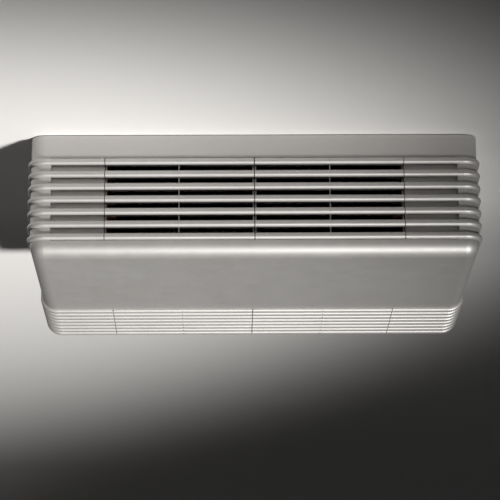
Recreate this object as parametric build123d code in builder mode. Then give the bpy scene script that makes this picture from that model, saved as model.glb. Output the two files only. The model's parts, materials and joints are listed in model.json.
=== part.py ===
from build123d import *

# Wall-hung fan convector heater, fed by a hot-water circuit. Millimetres.
# +X runs along the wall, +Y points into the wall, +Z is up. The origin is on the wall plane, at the
# centre of the four wall-fixing holes, so the room side of the heater is at negative Y.
import os
from math import cos, radians, sin

os.makedirs("parts", exist_ok=True)

# ---------------------------------------------------------------- driving dimensions
WIDTH = 600.0
DEPTH = 168.0
HEIGHT = 415.0
EDGE_R = 19.0  # rounded front and end edges of the casing
SKIN = 2.5  # wall of the casing
SIDE = WIDTH / 2
FRONT = -DEPTH
TOP = HEIGHT / 2
BASE = -HEIGHT / 2

# Round-nosed ribs that run across the two grilles and round the ends of the casing
RIB_R = 4.65
RIB_PROUD = 4.0
RIB_PITCH = 17.5
RIB_SINK = RIB_R - RIB_PROUD
TOP_RIBS = 7
TOP_RIB_SETBACK = 26.3  # first rib's centre, behind the front face
INTAKE_RIBS = 8
INTAKE_RIB_DROP = 277.0  # first rib's centre, below the top
RIB_TAIL = 44.0  # how far the top ribs run down the ends
RIB_BACK_STOP = 6.0  # the intake ribs stop this far short of the wall
BAR_WEB = 6.4  # stiffening web behind each round nose
BAR_DEPTH = 13.5
top_rib_y = [FRONT + TOP_RIB_SETBACK + k * RIB_PITCH for k in range(TOP_RIBS)]
intake_rib_z = [TOP - INTAKE_RIB_DROP - k * RIB_PITCH for k in range(INTAKE_RIBS)]

# The two openings, the blind pockets beside them and the collars that hold the grille inserts
OPENING_X = 200.6
INSERT_X = 199.6
CENTRE_GAP = 0.6
WEB_X = 101.0  # the thin cross web at the middle of each insert
MID_WEB = 1.4
MID_WEB_SINK = 4.0
END_WEB = 2.0
END_WEB_SINK = 9.0
WEB_DEPTH = 13.8
POCKET_X = 272.0
POCKET_DEPTH = 6.0
RIB_EDGE = RIB_R + 0.6
COLLAR = 2.0
COLLAR_DEPTH = 16.0
LEDGE = 3.0
INTAKE_SEAM = 0.8  # hairline grooves across the bars at the middle webs
OUTLET_SEAM = 0.4
outlet_y = (top_rib_y[0] - RIB_EDGE, top_rib_y[-1] + RIB_EDGE)
intake_z = (intake_rib_z[-1] - RIB_EDGE, intake_rib_z[0] + RIB_EDGE)

# Folded steel chassis
SHEET = 1.5
CORNER_RELIEF = 3.0
CHASSIS_X = 290.0
CHASSIS_BASE = BASE + 6.0
FLOOR = CHASSIS_BASE + SHEET
CHASSIS_TOP = TOP - 8.0
NOTCH_Y = -139.0  # front edge of the base plate, behind the filter
NOSE_Y = -160.0  # front edge beside the filter
NOSE_X = 284.0
FIX_X = 250.0
FIX_Z = 150.0
FIX_R = 3.5
COVER_SCREW = (250.0, -150.0)
TAB_HALF = 15.0

# Fan, its sheet-metal ducting and its motor
THIN = 1.2
END_X = 203.0  # inner face of the plates that close the ends of the air way
DUCT_TOP = 188.0
FILTER_BACK = -142.0
END_NOSE = -151.5  # front edge of the end plates, beside the filter
FAN_Y = -72.0
FAN_Z = -78.0
IMPELLER_R = 35.0
IMPELLER_X = 188.0
BLADES = 28
SHAFT_R = 4.0
RUNNING = 0.04  # radial running clearance
DUCT_FRONT = -137.0
DUCT_BACK = -13.0
MOTOR_X = 218.0
MOTOR_STACK = 24.0
ROTOR_R = 15.6

# Finned coil, pipes and valves
TUBE_R = 4.76
TUBE_BORE = 4.3
tube_y = [-117.0, -89.0, -61.0, -33.0]
tube_z = [96.0, 124.0]
BEND_R = (tube_z[1] - tube_z[0]) / 2
FIN_PITCH = 5.0
FIN_X = 190.0
FIN = 0.4
FIN_Y = (-132.0, -18.0)
FIN_Z = (82.0, 138.0)
PIPE_R = 6.0
PIPE_BORE = 4.8
PIPE_START = 208.0
PIPE_BEND = 18.0
flow_at = (245.0, tube_y[0])
return_at = (270.0, tube_y[-1])
VALVE_Z = -138.0
VALVE_TOP = -108.0
VALVE_END = -168.0
TAIL_TOP = -152.0  # shoulder that the site pipe stops against
SITE_PIPE_R = 7.6
GROMMET_R = 12.0

# Controls at the left end
BOX = (-284.0, -221.0, -62.0, -SHEET, -70.0, 84.0)
GLAND_AT = (-262.0, -45.0)
GLAND_R = 8.0
CABLE_BORE = 4.0
switch_x = [-262.0, -232.0]
SWITCH_Y = -105.0
SWITCH_HALF = (6.5, 10.5)
ROCKER_R = 8.0
CABLE_LINE_Y = -20.0
CABLE_LINE_Z = -188.0
SENSOR_LINE_Y = -12.0
SENSOR_LINE_Z = -178.0
MOTOR_CABLE_R = 3.0
SENSOR_CABLE_R = 1.8


# ---------------------------------------------------------------- helpers for the block in hand
def block(x, y, z, mode=Mode.ADD):
    """A box from the lower to the higher of each pair of coordinates."""
    with Locations(((x[0] + x[1]) / 2, (y[0] + y[1]) / 2, (z[0] + z[1]) / 2)):
        Box(abs(x[1] - x[0]), abs(y[1] - y[0]), abs(z[1] - z[0]), mode=mode)


def rod(start, end, radius, mode=Mode.ADD):
    """A cylinder between two points."""
    a, b = Vector(*start), Vector(*end)
    with Locations(Plane(origin=(a + b) * 0.5, z_dir=b - a)):
        Cylinder(radius, (b - a).length, mode=mode)


def hexagon(start, end, flats, mode=Mode.ADD):
    """A hexagonal prism between two points, by its width across flats."""
    a, b = Vector(*start), Vector(*end)
    foot = Plane(origin=a, z_dir=b - a)
    reach = flats / 2 / cos(radians(30))
    turns = [radians(60 * k) for k in range(6)]
    corners = [foot.from_local_coords((reach * cos(t), reach * sin(t), 0)) for t in turns]
    add(Solid.extrude(Face(Wire.make_polygon(corners, close=True)), b - a), mode=mode)


def screw(head, tip, head_r, shank_r, head_height):
    """A pan-head screw from the underside of its head to its tip."""
    a, b = Vector(*head), Vector(*tip)
    back = (a - b).normalized() * head_height
    rod(a, b, shank_r)
    rod(a, a + back, head_r)
    rod(a + back * 0.5, a + back, head_r * 0.4, Mode.SUBTRACT)


def save(piece, name):
    piece.part.label = name
    export_step(piece.part, f"parts/{name}.step")


# ---------------------------------------------------------------- casing
# The ribs that are moulded with the casing, outside the two seams: those of the top turn down the
# ends, those of the intake turn back along the ends towards the wall.
with BuildPart() as end_ribs:
    for side in (-1, 1):
        for y in top_rib_y:
            with BuildLine(Plane.XZ.offset(-y)) as run:
                FilletPolyline(
                    (side * OPENING_X, TOP - RIB_SINK),
                    (side * (SIDE - RIB_SINK), TOP - RIB_SINK),
                    (side * (SIDE - RIB_SINK), TOP - RIB_TAIL),
                    radius=EDGE_R - RIB_SINK,
                )
            with BuildSketch(Plane(run.line ^ 0)):
                Circle(RIB_R)
            sweep(path=run.line)
            with Locations(run.line @ 1):
                Sphere(RIB_R)
        for z in intake_rib_z:
            with BuildLine(Plane.XY.offset(z)) as run:
                FilletPolyline(
                    (side * OPENING_X, FRONT + RIB_SINK),
                    (side * (SIDE - RIB_SINK), FRONT + RIB_SINK),
                    (side * (SIDE - RIB_SINK), -RIB_BACK_STOP),
                    radius=EDGE_R - RIB_SINK,
                )
            with BuildSketch(Plane(run.line ^ 0)):
                Circle(RIB_R)
            sweep(path=run.line)

with BuildPart() as front_cover:
    block((-SIDE, SIDE), (FRONT, 0), (BASE, TOP))
    front_top = edges().filter_by(Axis.X).group_by(Axis.Y)[0].sort_by(Axis.Z)[-1]
    end_tops = edges().filter_by(Axis.Y).group_by(Axis.Z)[-1]
    uprights = edges().filter_by(Axis.Z).group_by(Axis.Y)[0]
    fillet([front_top, *end_tops, *uprights], EDGE_R)
    offset(amount=-SKIN, openings=[faces().sort_by(Axis.Y)[-1], faces().sort_by(Axis.Z)[0]])
    # Collars and pocket trays, first as solid blocks and then hollowed
    outer = OPENING_X + COLLAR
    deep_y = (outlet_y[0] - COLLAR, outlet_y[1] + COLLAR)
    deep_z = (intake_z[0] - COLLAR, intake_z[1] + COLLAR)
    pocket_z = (intake_z[0], intake_rib_z[1])
    block((-outer, outer), deep_y, (TOP - COLLAR_DEPTH, TOP - 1))
    block((-outer, outer), (FRONT + 1, FRONT + COLLAR_DEPTH), deep_z)
    for side in (-1, 1):
        tray_x = (side * outer, side * (POCKET_X + COLLAR))
        block(tray_x, deep_y, (TOP - POCKET_DEPTH - COLLAR, TOP - 1))
        block(tray_x, (FRONT + 1, FRONT + POCKET_DEPTH + COLLAR), deep_z)
    block((-OPENING_X, OPENING_X), outlet_y, (TOP - COLLAR_DEPTH, TOP + 1), Mode.SUBTRACT)
    block((-OPENING_X, OPENING_X), (FRONT - 1, FRONT + COLLAR_DEPTH), intake_z, Mode.SUBTRACT)
    for side in (-1, 1):
        pocket_x = (side * OPENING_X, side * POCKET_X)
        block(pocket_x, outlet_y, (TOP - POCKET_DEPTH, TOP + 1), Mode.SUBTRACT)
        block(pocket_x, (FRONT - 1, FRONT + POCKET_DEPTH), pocket_z, Mode.SUBTRACT)
    # Ledges that the inserts rest on
    ledge_z = (TOP - COLLAR_DEPTH, TOP - COLLAR_DEPTH + COLLAR)
    for y in (outlet_y[0], outlet_y[1] - LEDGE):
        block((-OPENING_X, OPENING_X), (y, y + LEDGE), ledge_z)
    ledge_y = (FRONT + COLLAR_DEPTH - COLLAR, FRONT + COLLAR_DEPTH)
    for z in (intake_z[0], intake_z[1] - LEDGE):
        block((-OPENING_X, OPENING_X), ledge_y, (z, z + LEDGE))
    add(end_ribs.part)
    # Slotted tabs at the base, open towards the wall, so that the cover draws off over loose screws
    tab_z = (CHASSIS_BASE - 0.5 - SKIN, CHASSIS_BASE - 0.5)
    for side in (-1, 1):
        x, y = side * COVER_SCREW[0], COVER_SCREW[1]
        block((x - TAB_HALF, x + TAB_HALF), (FRONT + SKIN, y + 10), tab_z)
        rod((x, y, tab_z[0] - 1), (x, y, tab_z[1] + 1), 2.75, Mode.SUBTRACT)
        block((x - 2.75, x + 2.75), (y, y + 12), (tab_z[0] - 1, tab_z[1] + 1), Mode.SUBTRACT)
save(front_cover, "front_cover")

# Lift-out outlet grilles: round-nosed bars on three cross webs
for name, side in (("outlet_grille_left", -1), ("outlet_grille_right", 1)):
    low, high = sorted((side * CENTRE_GAP, side * INSERT_X))
    with BuildPart() as outlet_grille:
        with BuildSketch(Plane.YZ.offset(low)):
            for y in top_rib_y:
                with Locations((y, TOP - RIB_SINK)):
                    Circle(RIB_R)
                with Locations((y, TOP - (RIB_SINK + BAR_DEPTH) / 2)):
                    Rectangle(BAR_WEB, BAR_DEPTH - RIB_SINK)
        extrude(amount=high - low)
        web_y = (outlet_y[0] + 0.4, outlet_y[1] - 0.4)
        for x in (low, high - END_WEB):
            block((x, x + END_WEB), web_y, (TOP - WEB_DEPTH, TOP - END_WEB_SINK))
        mid_x = (side * WEB_X - MID_WEB / 2, side * WEB_X + MID_WEB / 2)
        block(mid_x, web_y, (TOP - WEB_DEPTH, TOP - MID_WEB_SINK))
        cut_x = (side * WEB_X - OUTLET_SEAM / 2, side * WEB_X + OUTLET_SEAM / 2)
        block(cut_x, outlet_y, (TOP + RIB_PROUD - 0.8, TOP + RIB_PROUD + 1), Mode.SUBTRACT)
    save(outlet_grille, name)

# Clip-in intake grilles, the same bars upright on the front, with a closed strip behind the first gap
for name, side in (("intake_grille_left", -1), ("intake_grille_right", 1)):
    low, high = sorted((side * CENTRE_GAP, side * INSERT_X))
    with BuildPart() as intake_grille:
        with BuildSketch(Plane.YZ.offset(low)):
            for z in intake_rib_z:
                with Locations((FRONT + RIB_SINK, z)):
                    Circle(RIB_R)
                with Locations((FRONT + (RIB_SINK + BAR_DEPTH) / 2, z)):
                    Rectangle(BAR_DEPTH - RIB_SINK, BAR_WEB)
        extrude(amount=high - low)
        block((low, high), (FRONT, FRONT + SKIN), (intake_rib_z[1], intake_rib_z[0]))
        web_z = (intake_z[0] + 0.4, intake_z[1] - 0.4)
        for x in (low, high - END_WEB):
            block((x, x + END_WEB), (FRONT + END_WEB_SINK, FRONT + WEB_DEPTH), web_z)
        mid_x = (side * WEB_X - MID_WEB / 2, side * WEB_X + MID_WEB / 2)
        block(mid_x, (FRONT + MID_WEB_SINK, FRONT + WEB_DEPTH), web_z)
        cut_x = (side * WEB_X - INTAKE_SEAM / 2, side * WEB_X + INTAKE_SEAM / 2)
        block(cut_x, (FRONT - RIB_PROUD - 1, FRONT - RIB_PROUD + 2), intake_z, Mode.SUBTRACT)
    save(intake_grille, name)

# ---------------------------------------------------------------- chassis
with BuildPart() as chassis:
    block((-CHASSIS_X, CHASSIS_X), (-SHEET, 0), (CHASSIS_BASE, CHASSIS_TOP))
    for side in (-1, 1):
        for z in (-FIX_Z, FIX_Z):
            rod((side * FIX_X, -SHEET - 1, z), (side * FIX_X, 1, z), FIX_R, Mode.SUBTRACT)
save(chassis, "chassis")

# The folded edges of the back plate, apart from it and with a relief at each upper corner
with BuildPart() as chassis_flanges:
    block((-CHASSIS_X, CHASSIS_X), (-22, -SHEET), (CHASSIS_TOP - SHEET, CHASSIS_TOP))
    for side in (-1, 1):
        flange_z = (FLOOR, CHASSIS_TOP - SHEET - CORNER_RELIEF)
        block((side * (CHASSIS_X - SHEET), side * CHASSIS_X), (-40, -SHEET), flange_z)
save(chassis_flanges, "chassis_flanges")

with BuildPart() as base_tray:
    block((-CHASSIS_X, CHASSIS_X), (NOTCH_Y, -SHEET), (CHASSIS_BASE, FLOOR))
    for side in (-1, 1):
        block((side * 206, side * NOSE_X), (NOSE_Y, NOTCH_Y), (CHASSIS_BASE, FLOOR))
        block((side * 206, side * NOSE_X), (NOSE_Y, NOSE_Y + SHEET), (FLOOR, FLOOR + 8))
        rod(
            (side * COVER_SCREW[0], COVER_SCREW[1], CHASSIS_BASE - 1),
            (side * COVER_SCREW[0], COVER_SCREW[1], FLOOR + 1),
            2.0,
            Mode.SUBTRACT,
        )
    for x, y in (flow_at, return_at):
        rod((x, y, CHASSIS_BASE - 1), (x, y, FLOOR + 1), GROMMET_R, Mode.SUBTRACT)
    rod((*GLAND_AT, CHASSIS_BASE - 1), (*GLAND_AT, FLOOR + 1), GLAND_R, Mode.SUBTRACT)
    for x in switch_x:
        cut_x = (x - SWITCH_HALF[0] + 0.5, x + SWITCH_HALF[0] - 0.5)
        cut_y = (SWITCH_Y - SWITCH_HALF[1] + 0.5, SWITCH_Y + SWITCH_HALF[1] - 0.5)
        block(cut_x, cut_y, (CHASSIS_BASE - 1, FLOOR + 1), Mode.SUBTRACT)
save(base_tray, "base_tray")

with BuildPart() as cover_screws:
    for side in (-1, 1):
        x, y = side * COVER_SCREW[0], COVER_SCREW[1]
        screw((x, y, tab_z[0] - 0.2), (x, y, FLOOR + 6), 4.2, 1.95, 2.4)
save(cover_screws, "cover_screws")

# ---------------------------------------------------------------- air way: end plates, scroll, baffle
FLANGE = 15.0
foot_screw_y = [-110.0, -35.0]
back_screw_z = [-160.0, 160.0]
for name, side in (("fan_end_left", -1), ("fan_end_right", 1)):
    inner, outside = side * END_X, side * (END_X + THIN)
    with BuildPart() as fan_end:
        block((inner, outside), (END_NOSE, -SHEET), (FLOOR, -50))
        block((inner, outside), (DUCT_FRONT - 0.6, -SHEET), (-50, DUCT_TOP))
        block((outside, outside + side * FLANGE), (-130, -10), (FLOOR, FLOOR + THIN))
        block((outside, outside + side * FLANGE), (-SHEET - THIN, -SHEET), (-185, DUCT_TOP - 4))
        block((inner, outside), (FIN_Y[0] + 2, FIN_Y[1] - 2), (FIN_Z[0] + 3, FIN_Z[1] - 3), Mode.SUBTRACT)
        rod((inner - side, FAN_Y, FAN_Z), (outside + side, FAN_Y, FAN_Z), 15, Mode.SUBTRACT)
        for y, z, hole_r in ((CABLE_LINE_Y, CABLE_LINE_Z, 5), (SENSOR_LINE_Y, SENSOR_LINE_Z, 3)):
            rod((inner - side, y, z), (outside + side, y, z), hole_r, Mode.SUBTRACT)
        for y in foot_screw_y:
            at = (side * (END_X + THIN + 9), y)
            rod((*at, FLOOR - 1), (*at, FLOOR + THIN + 1), 2.0, Mode.SUBTRACT)
        for z in back_screw_z:
            x = side * (END_X + THIN + 9)
            rod((x, -SHEET - THIN - 1, z), (x, -SHEET + 1, z), 2.0, Mode.SUBTRACT)
    save(fan_end, name)

with BuildPart() as end_plate_screws:
    for side in (-1, 1):
        x = side * (END_X + THIN + 9)
        for y in foot_screw_y:
            screw((x, y, FLOOR + THIN), (x, y, FLOOR), 3.6, 1.95, 2.2)
        for z in back_screw_z:
            screw((x, -SHEET - THIN, z), (x, -SHEET, z), 3.6, 1.95, 2.2)
save(end_plate_screws, "end_plate_screws")

with BuildPart() as fan_scroll:
    with BuildSketch(Plane.YZ.offset(-END_X)):
        with BuildLine() as scroll_line:
            Line((-100, FLOOR), (-93, -114.4))
            ThreePointArc((-93, -114.4), (-48.5, -120), (DUCT_BACK, FAN_Z))
            Line((DUCT_BACK, FAN_Z), (DUCT_BACK, DUCT_TOP))
        trace(line_width=THIN)
    extrude(amount=2 * END_X)
    block((-END_X - 1, END_X + 1), (-110, -80), (FLOOR - 2, FLOOR), Mode.SUBTRACT)
    block((-END_X - 1, END_X + 1), (-20, -5), (DUCT_TOP, DUCT_TOP + 2), Mode.SUBTRACT)
save(fan_scroll, "fan_scroll")

with BuildPart() as front_baffle:
    with BuildSketch(Plane.YZ.offset(-END_X)):
        with BuildLine() as baffle_line:
            FilletPolyline(
                (-106, -66), (-113, -46), (DUCT_FRONT, -32), (DUCT_FRONT, DUCT_TOP), radius=6
            )
        trace(line_width=THIN)
    extrude(amount=2 * END_X)
    block((-END_X - 1, END_X + 1), (-145, -130), (DUCT_TOP, DUCT_TOP + 2), Mode.SUBTRACT)
save(front_baffle, "front_baffle")

with BuildPart() as outlet_gasket:
    block((-208, 208), (DUCT_FRONT - 5, DUCT_BACK + 5), (DUCT_TOP, DUCT_TOP + 3.2))
    block((-199, 199), (DUCT_FRONT + 4, DUCT_BACK - 4), (DUCT_TOP - 1, DUCT_TOP + 4), Mode.SUBTRACT)
save(outlet_gasket, "outlet_gasket")

# ---------------------------------------------------------------- filter
FILTER_X = 201.3
FILTER_Y = (FILTER_BACK - 8, FILTER_BACK)
FILTER_Z = (-198.0, -62.0)
RIM = 8.0
MULLION = 3.0
FILTER_BAYS = 4
bay = (2 * (FILTER_X - RIM) - (FILTER_BAYS - 1) * MULLION) / FILTER_BAYS
bay_z = (FILTER_Z[0] + RIM, FILTER_Z[1] - RIM)
with BuildPart() as filter_frame:
    block((-FILTER_X, FILTER_X), FILTER_Y, FILTER_Z)
    for k in range(FILTER_BAYS):
        x = -FILTER_X + RIM + k * (bay + MULLION)
        block((x, x + bay), (FILTER_Y[0] - 1, FILTER_Y[1] + 1), bay_z, Mode.SUBTRACT)
    block((-22, 22), (FILTER_BACK - 5, FILTER_BACK - 3), (FILTER_Z[0] - 7, FILTER_Z[0]))
save(filter_frame, "filter_frame")

with BuildPart() as filter_mesh:
    for k in range(FILTER_BAYS):
        x = -FILTER_X + RIM + k * (bay + MULLION)
        block((x, x + bay), (FILTER_BACK - 4.5, FILTER_BACK - 3.5), bay_z)
save(filter_mesh, "filter_mesh")

with BuildPart() as filter_rails:
    for side in (-1, 1):
        rail_z = (FLOOR + 2, FILTER_Z[1] + 4)
        block((side * (END_X - 7), side * END_X), (FILTER_Y[0] - 1.4, FILTER_Y[1] + 1.4), rail_z)
        block(
            (side * (END_X - 8), side * (END_X - 1)),
            (FILTER_Y[0] - 0.4, FILTER_Y[1] + 0.4),
            (rail_z[0] - 1, rail_z[1] - 1.5),
            Mode.SUBTRACT,
        )
save(filter_rails, "filter_rails")

# ---------------------------------------------------------------- impeller and motor
BLADE = 0.9
BLADE_PITCH_R = IMPELLER_R - 5.2
BLADE_SET = 28  # degrees that a blade leans forward from the radius
DISC = 1.6
blade_arc = ThreePointArc((-4.6, -1.2), (0, 1.2), (4.6, -1.2))
with BuildPart() as impeller:
    with BuildSketch(Plane.YZ.offset(-IMPELLER_X)):
        with Locations((FAN_Y, FAN_Z)):
            with PolarLocations(BLADE_PITCH_R, BLADES):
                SlotArc(blade_arc, BLADE, rotation=BLADE_SET)
    extrude(amount=2 * IMPELLER_X)
    ring_x = [-IMPELLER_X + k * (2 * IMPELLER_X - DISC) / 4 for k in range(5)]
    for x in ring_x:
        with BuildSketch(Plane.YZ.offset(x)):
            with Locations((FAN_Y, FAN_Z)):
                Circle(IMPELLER_R)
                if x in ring_x[1:-1]:
                    Circle(IMPELLER_R - 11, mode=Mode.SUBTRACT)
        extrude(amount=DISC)
    for x in (-IMPELLER_X, IMPELLER_X - 10):
        rod((x, FAN_Y, FAN_Z), (x + 10, FAN_Y, FAN_Z), 8)
        rod((x - 1, FAN_Y, FAN_Z), (x + 11, FAN_Y, FAN_Z), SHAFT_R, Mode.SUBTRACT)
save(impeller, "impeller")

with BuildPart() as impeller_shafts:
    rod((-END_X - 8, FAN_Y, FAN_Z), (-IMPELLER_X + 10, FAN_Y, FAN_Z), SHAFT_R)
    rod((IMPELLER_X - 10, FAN_Y, FAN_Z), (MOTOR_X + MOTOR_STACK + 24, FAN_Y, FAN_Z), SHAFT_R)
save(impeller_shafts, "impeller_shafts")

with BuildPart() as bearing_bush:
    rod((-END_X - 6, FAN_Y, FAN_Z), (-END_X + 5, FAN_Y, FAN_Z), 8)
    rod((-END_X - 7, FAN_Y, FAN_Z), (-END_X + 6, FAN_Y, FAN_Z), SHAFT_R + RUNNING, Mode.SUBTRACT)
save(bearing_bush, "bearing_bush")

with BuildPart() as bearing_rubber:
    rod((-END_X - 4, FAN_Y, FAN_Z), (-END_X + 3, FAN_Y, FAN_Z), 18)
    block((-END_X - THIN, -END_X), (FAN_Y - 20, FAN_Y + 20), (FAN_Z - 20, FAN_Z + 20), Mode.SUBTRACT)
    rod((-END_X - THIN, FAN_Y, FAN_Z), (-END_X, FAN_Y, FAN_Z), 15)
    rod((-END_X - 5, FAN_Y, FAN_Z), (-END_X + 4, FAN_Y, FAN_Z), 8, Mode.SUBTRACT)
save(bearing_rubber, "bearing_rubber")

CORE_Y = (FAN_Y - 28, FAN_Y + 28)
CORE_Z = (FAN_Z - 34, FAN_Z + 26)
motor_end = MOTOR_X + MOTOR_STACK
LIMB_Z = (CORE_Z[0], CORE_Z[0] + 10)
motor_bolts = [(FAN_Y + dy, FAN_Z + dz) for dy in (-23, 23) for dz in (-15, 21)]
with BuildPart() as motor_core:
    block((MOTOR_X, motor_end), CORE_Y, CORE_Z)
    fillet(edges().filter_by(Axis.X), 4)
    rod((MOTOR_X - 1, FAN_Y, FAN_Z), (motor_end + 1, FAN_Y, FAN_Z), ROTOR_R + 0.4, Mode.SUBTRACT)
    window_z = (LIMB_Z[1], FAN_Z - ROTOR_R - 3)
    block((MOTOR_X - 1, motor_end + 1), (CORE_Y[0] + 10, CORE_Y[1] - 10), window_z, Mode.SUBTRACT)
    for y, z in motor_bolts:
        rod((MOTOR_X - 1, y, z), (motor_end + 1, y, z), 2.0, Mode.SUBTRACT)
save(motor_core, "motor_core")

with BuildPart() as motor_coil:
    winding_z = (LIMB_Z[0] - 4.5, LIMB_Z[1] + 4.5)
    limb_z = (LIMB_Z[0] - 0.2, LIMB_Z[1] + 0.2)
    block((MOTOR_X - 6, motor_end + 6), (CORE_Y[0] + 11, CORE_Y[1] - 11), winding_z)
    fillet(edges().filter_by(Axis.Y), 4)
    block((MOTOR_X - 0.2, motor_end + 0.2), CORE_Y, limb_z, Mode.SUBTRACT)
save(motor_coil, "motor_coil")

with BuildPart() as motor_rotor:
    rod((MOTOR_X + 1, FAN_Y, FAN_Z), (motor_end - 1, FAN_Y, FAN_Z), ROTOR_R)
    for x in (MOTOR_X - 3, motor_end - 1):
        rod((x, FAN_Y, FAN_Z), (x + 4, FAN_Y, FAN_Z), ROTOR_R - 3)
    rod((MOTOR_X - 4, FAN_Y, FAN_Z), (motor_end + 4, FAN_Y, FAN_Z), SHAFT_R, Mode.SUBTRACT)
save(motor_rotor, "motor_rotor")

# Pressed bearing brackets either side of the stack, the inner one also held to the end plate
with BuildPart() as motor_brackets:
    for x, out in ((MOTOR_X, -1), (motor_end, 1)):
        rod((x + out * 6, FAN_Y, FAN_Z), (x + out * 12, FAN_Y, FAN_Z), 9)
        with Locations((x + out * 7, FAN_Y, FAN_Z + 3)):
            Box(2, 56, 16)
        for y, z in motor_bolts:
            rod((x, y, z), (x + out * 8, y, z), 4.5)
        for y in (-23, 23):
            block((x + out * 6, x + out * 8), (FAN_Y + y - 4.5, FAN_Y + y + 4.5), (FAN_Z - 15, FAN_Z + 21))
        rod((x, FAN_Y, FAN_Z), (x + out * 13, FAN_Y, FAN_Z), SHAFT_R + RUNNING, Mode.SUBTRACT)
        for y, z in motor_bolts:
            rod((x - out, y, z), (x + out * 13, y, z), 2.0, Mode.SUBTRACT)
save(motor_brackets, "motor_brackets")

with BuildPart() as motor_screws:
    for y, z in motor_bolts:
        screw((motor_end + 8, y, z), (END_X + THIN, y, z), 3.4, 1.95, 2.2)
        hexagon((END_X + THIN, y, z), (MOTOR_X - 8, y, z), 7)
save(motor_screws, "motor_screws")

with BuildPart() as motor_cooling_fan:
    fan_x = motor_end + 16
    rod((fan_x, FAN_Y, FAN_Z), (fan_x + 8, FAN_Y, FAN_Z), 8)
    with Locations(Plane(origin=(fan_x + 4, FAN_Y, FAN_Z), z_dir=(1, 0, 0))):
        with PolarLocations(14.5, 8):
            Box(15, 1.4, 7, rotation=(35, 0, 0))
    rod((fan_x - 1, FAN_Y, FAN_Z), (fan_x + 9, FAN_Y, FAN_Z), SHAFT_R, Mode.SUBTRACT)
save(motor_cooling_fan, "motor_cooling_fan")

# ---------------------------------------------------------------- finned coil
fin_count = int(2 * FIN_X / FIN_PITCH) + 1
fin_x = [-FIN_X + k * FIN_PITCH for k in range(fin_count)]
tube_points = [(y, z) for y in tube_y for z in tube_z]
with BuildPart() as coil_fins:
    with BuildSketch(*[Plane.YZ.offset(x - FIN / 2) for x in fin_x]):
        with Locations(((FIN_Y[0] + FIN_Y[1]) / 2, (FIN_Z[0] + FIN_Z[1]) / 2)):
            Rectangle(FIN_Y[1] - FIN_Y[0], FIN_Z[1] - FIN_Z[0])
        with Locations(*tube_points):
            Circle(TUBE_R + 0.02, mode=Mode.SUBTRACT)
    extrude(amount=FIN)
save(coil_fins, "coil_fins")

TUBE_LEFT = -205.0
TUBE_RIGHT = 207.0
with BuildPart() as coil_tubes:
    for y, z in tube_points:
        outlet = z == tube_z[0] and y in (tube_y[0], tube_y[-1])
        right = PIPE_START + 12 if outlet else TUBE_RIGHT
        rod((TUBE_LEFT, y, z), (right, y, z), TUBE_R)
        rod((TUBE_LEFT - 1, y, z), (right + 1, y, z), TUBE_BORE, Mode.SUBTRACT)
save(coil_tubes, "coil_tubes")

# Hairpins at the left join the two rows; those at the right join neighbouring columns
with BuildPart() as return_bends:
    for y in tube_y:
        with BuildLine(Plane.XZ.offset(-y)) as bend:
            CenterArc((TUBE_LEFT, tube_z[0] + BEND_R), BEND_R, 90, 180)
        with BuildSketch(Plane(bend.line ^ 0)):
            Circle(TUBE_R)
            Circle(TUBE_BORE, mode=Mode.SUBTRACT)
        sweep(path=bend.line)
    for k, z in ((0, tube_z[1]), (1, tube_z[0]), (2, tube_z[1])):
        with BuildLine(Plane.XY.offset(z)) as bend:
            CenterArc((TUBE_RIGHT, tube_y[k] + BEND_R), BEND_R, -90, 180)
        with BuildSketch(Plane(bend.line ^ 0)):
            Circle(TUBE_R)
            Circle(TUBE_BORE, mode=Mode.SUBTRACT)
        sweep(path=bend.line)
save(return_bends, "return_bends")

with BuildPart() as coil_end_plates:
    for side in (-1, 1):
        x = (side * (END_X - SHEET), side * END_X)
        block(x, (FIN_Y[0] - 2, FIN_Y[1] + 2), (FIN_Z[0] - 2, FIN_Z[1] + 2))
        for y, z in tube_points:
            rod((x[0] - side, y, z), (x[1] + side, y, z), TUBE_R + 0.02, Mode.SUBTRACT)
save(coil_end_plates, "coil_end_plates")

# ---------------------------------------------------------------- water connections
for name, at in (("flow_pipe", flow_at), ("return_pipe", return_at)):
    with BuildPart() as water_pipe:
        with BuildLine(Plane.XZ.offset(-at[1])) as run:
            FilletPolyline(
                (PIPE_START, tube_z[0]), (at[0], tube_z[0]), (at[0], VALVE_TOP - 10), radius=PIPE_BEND
            )
        with BuildSketch(Plane(run.line ^ 0)):
            Circle(PIPE_R)
            Circle(PIPE_BORE, mode=Mode.SUBTRACT)
        sweep(path=run.line)
        if name == "return_pipe":
            vent_at = (236.0, at[1])
            rod((*vent_at, tube_z[0]), (*vent_at, tube_z[0] + PIPE_R + 4), 4.5)
            rod((*vent_at, tube_z[0] - 1), (*vent_at, tube_z[0] + PIPE_R + 5), 2.5, Mode.SUBTRACT)
            bore_end = (vent_at[0] + 8, at[1], tube_z[0])
            rod((PIPE_START, at[1], tube_z[0]), bore_end, PIPE_BORE, Mode.SUBTRACT)
    save(water_pipe, name)

STEM_Y = 20.0
for name, at in (("flow_valve", flow_at), ("return_valve", return_at)):
    x, y = at
    with BuildPart() as valve:
        rod((x, y, TAIL_TOP), (x, y, VALVE_TOP), 9)
        with Locations((x, y, VALVE_Z)):
            Sphere(12.5)
        rod((x, y, VALVE_Z), (x, y - STEM_Y, VALVE_Z), 6)
        hexagon((x, y - 13, VALVE_Z), (x, y - 17, VALVE_Z), 15)
        rod((x, y - STEM_Y, VALVE_Z), (x, y - STEM_Y - 8, VALVE_Z), 3)
        rod((x, y, VALVE_TOP - 12), (x, y, VALVE_TOP + 1), PIPE_R + 0.02, Mode.SUBTRACT)
        rod((x, y, TAIL_TOP - 1), (x, y, VALVE_TOP), 4.8, Mode.SUBTRACT)
    save(valve, name)

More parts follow.
